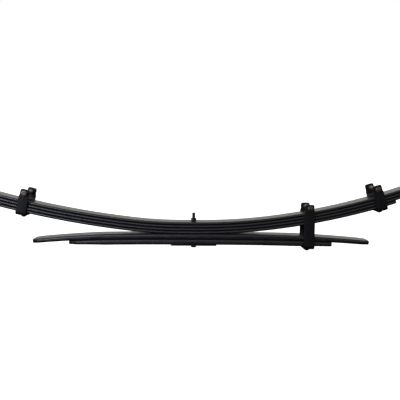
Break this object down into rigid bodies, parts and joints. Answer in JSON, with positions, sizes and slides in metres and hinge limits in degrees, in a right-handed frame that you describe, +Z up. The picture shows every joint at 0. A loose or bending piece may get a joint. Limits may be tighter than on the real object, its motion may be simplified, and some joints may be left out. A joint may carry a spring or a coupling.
{
  "type": "leaf spring",
  "caption": "Two-stage automotive leaf spring: stacked curved main leaves with rolled bushed eyes, flat helper leaves under the seat, and bolted rebound clips.",
  "frame": {"origin": "on the centre bolt's axis, in the plane of the seat plate's bottom face, where the spring rests on the axle", "axes": "+X towards the rear (shackle) eye, +Y across the leaves, +Z up towards the chassis"},
  "size_m": [1.3609, 0.0904, 0.268],
  "materials": {
    "spring_enamel": "semi-gloss black stoving enamel on spring steel",
    "clip_enamel": "semi-gloss black enamel on mild steel strap",
    "zinc_fastener": "dulled zinc plate with a brown cast",
    "phosphate_fastener": "black phosphate, oiled, matt",
    "tube_steel": "turned, clear zinc plate",
    "bush_polyurethane": "moulded black polyurethane, matt",
    "liner_polymer": "moulded black polymer, matt",
    "button_nylon": "natural nylon"
  },
  "bodies": {
    "seat": {"main_leaf": "spring_enamel", "second_leaf": "spring_enamel", "third_leaf": "spring_enamel", "fourth_leaf": "spring_enamel", "upper_helper_leaf": "spring_enamel", "lower_helper_leaf": "spring_enamel", "seat_plate": "clip_enamel", "centre_bolt": "phosphate_fastener", "centre_nut": "phosphate_fastener", "long_clip_strap": "clip_enamel", "long_clip_rivet": "clip_enamel", "long_clip_bolt": "zinc_fastener", "long_clip_nut": "zinc_fastener", "long_clip_spacer": "zinc_fastener"},
    "front_arm": {"front_bush_near": "bush_polyurethane", "front_bush_far": "bush_polyurethane", "friction_button_third_front": "button_nylon", "front_clip_strap": "clip_enamel", "front_clip_rivet": "clip_enamel", "front_clip_bolt": "zinc_fastener", "front_clip_nut": "zinc_fastener", "front_clip_spacer": "zinc_fastener", "front_clip_liner": "liner_polymer"},
    "front_tube": {"front_crush_tube": "tube_steel"},
    "rear_arm": {"rear_bush_near": "bush_polyurethane", "rear_bush_far": "bush_polyurethane", "friction_button_second_rear": "button_nylon", "friction_button_third_rear": "button_nylon", "rear_clip_strap": "clip_enamel", "rear_clip_rivet": "clip_enamel", "rear_clip_bolt": "zinc_fastener", "rear_clip_nut": "zinc_fastener", "rear_clip_spacer": "zinc_fastener", "rear_clip_liner": "liner_polymer"},
    "rear_tube": {"rear_crush_tube": "tube_steel"}
  },
  "joints": [
    {"name": "front_flex", "type": "hinge", "parent": "seat", "child": "front_arm", "pos_m": [-0.2175, 0, 0.0583], "axis": [0, -1, 0], "range_deg": [-2, 15], "stiffness_Nm_per_rad": 3000, "deforming": ["main_leaf", "second_leaf", "third_leaf", "fourth_leaf"]},
    {"name": "rear_flex", "type": "hinge", "parent": "seat", "child": "rear_arm", "pos_m": [0.2375, 0, 0.0622], "axis": [0, 1, 0], "range_deg": [-2, 15], "stiffness_Nm_per_rad": 3000, "deforming": ["main_leaf", "second_leaf", "third_leaf", "fourth_leaf"]},
    {"name": "front_eye_pivot", "type": "hinge", "parent": "front_arm", "child": "front_tube", "pos_m": [-0.62129, 0, 0.18819], "axis": [0, 1, 0], "continuous": true},
    {"name": "rear_eye_pivot", "type": "hinge", "parent": "rear_arm", "child": "rear_tube", "pos_m": [0.68146, 0, 0.23003], "axis": [0, 1, 0], "continuous": true}
  ]
}
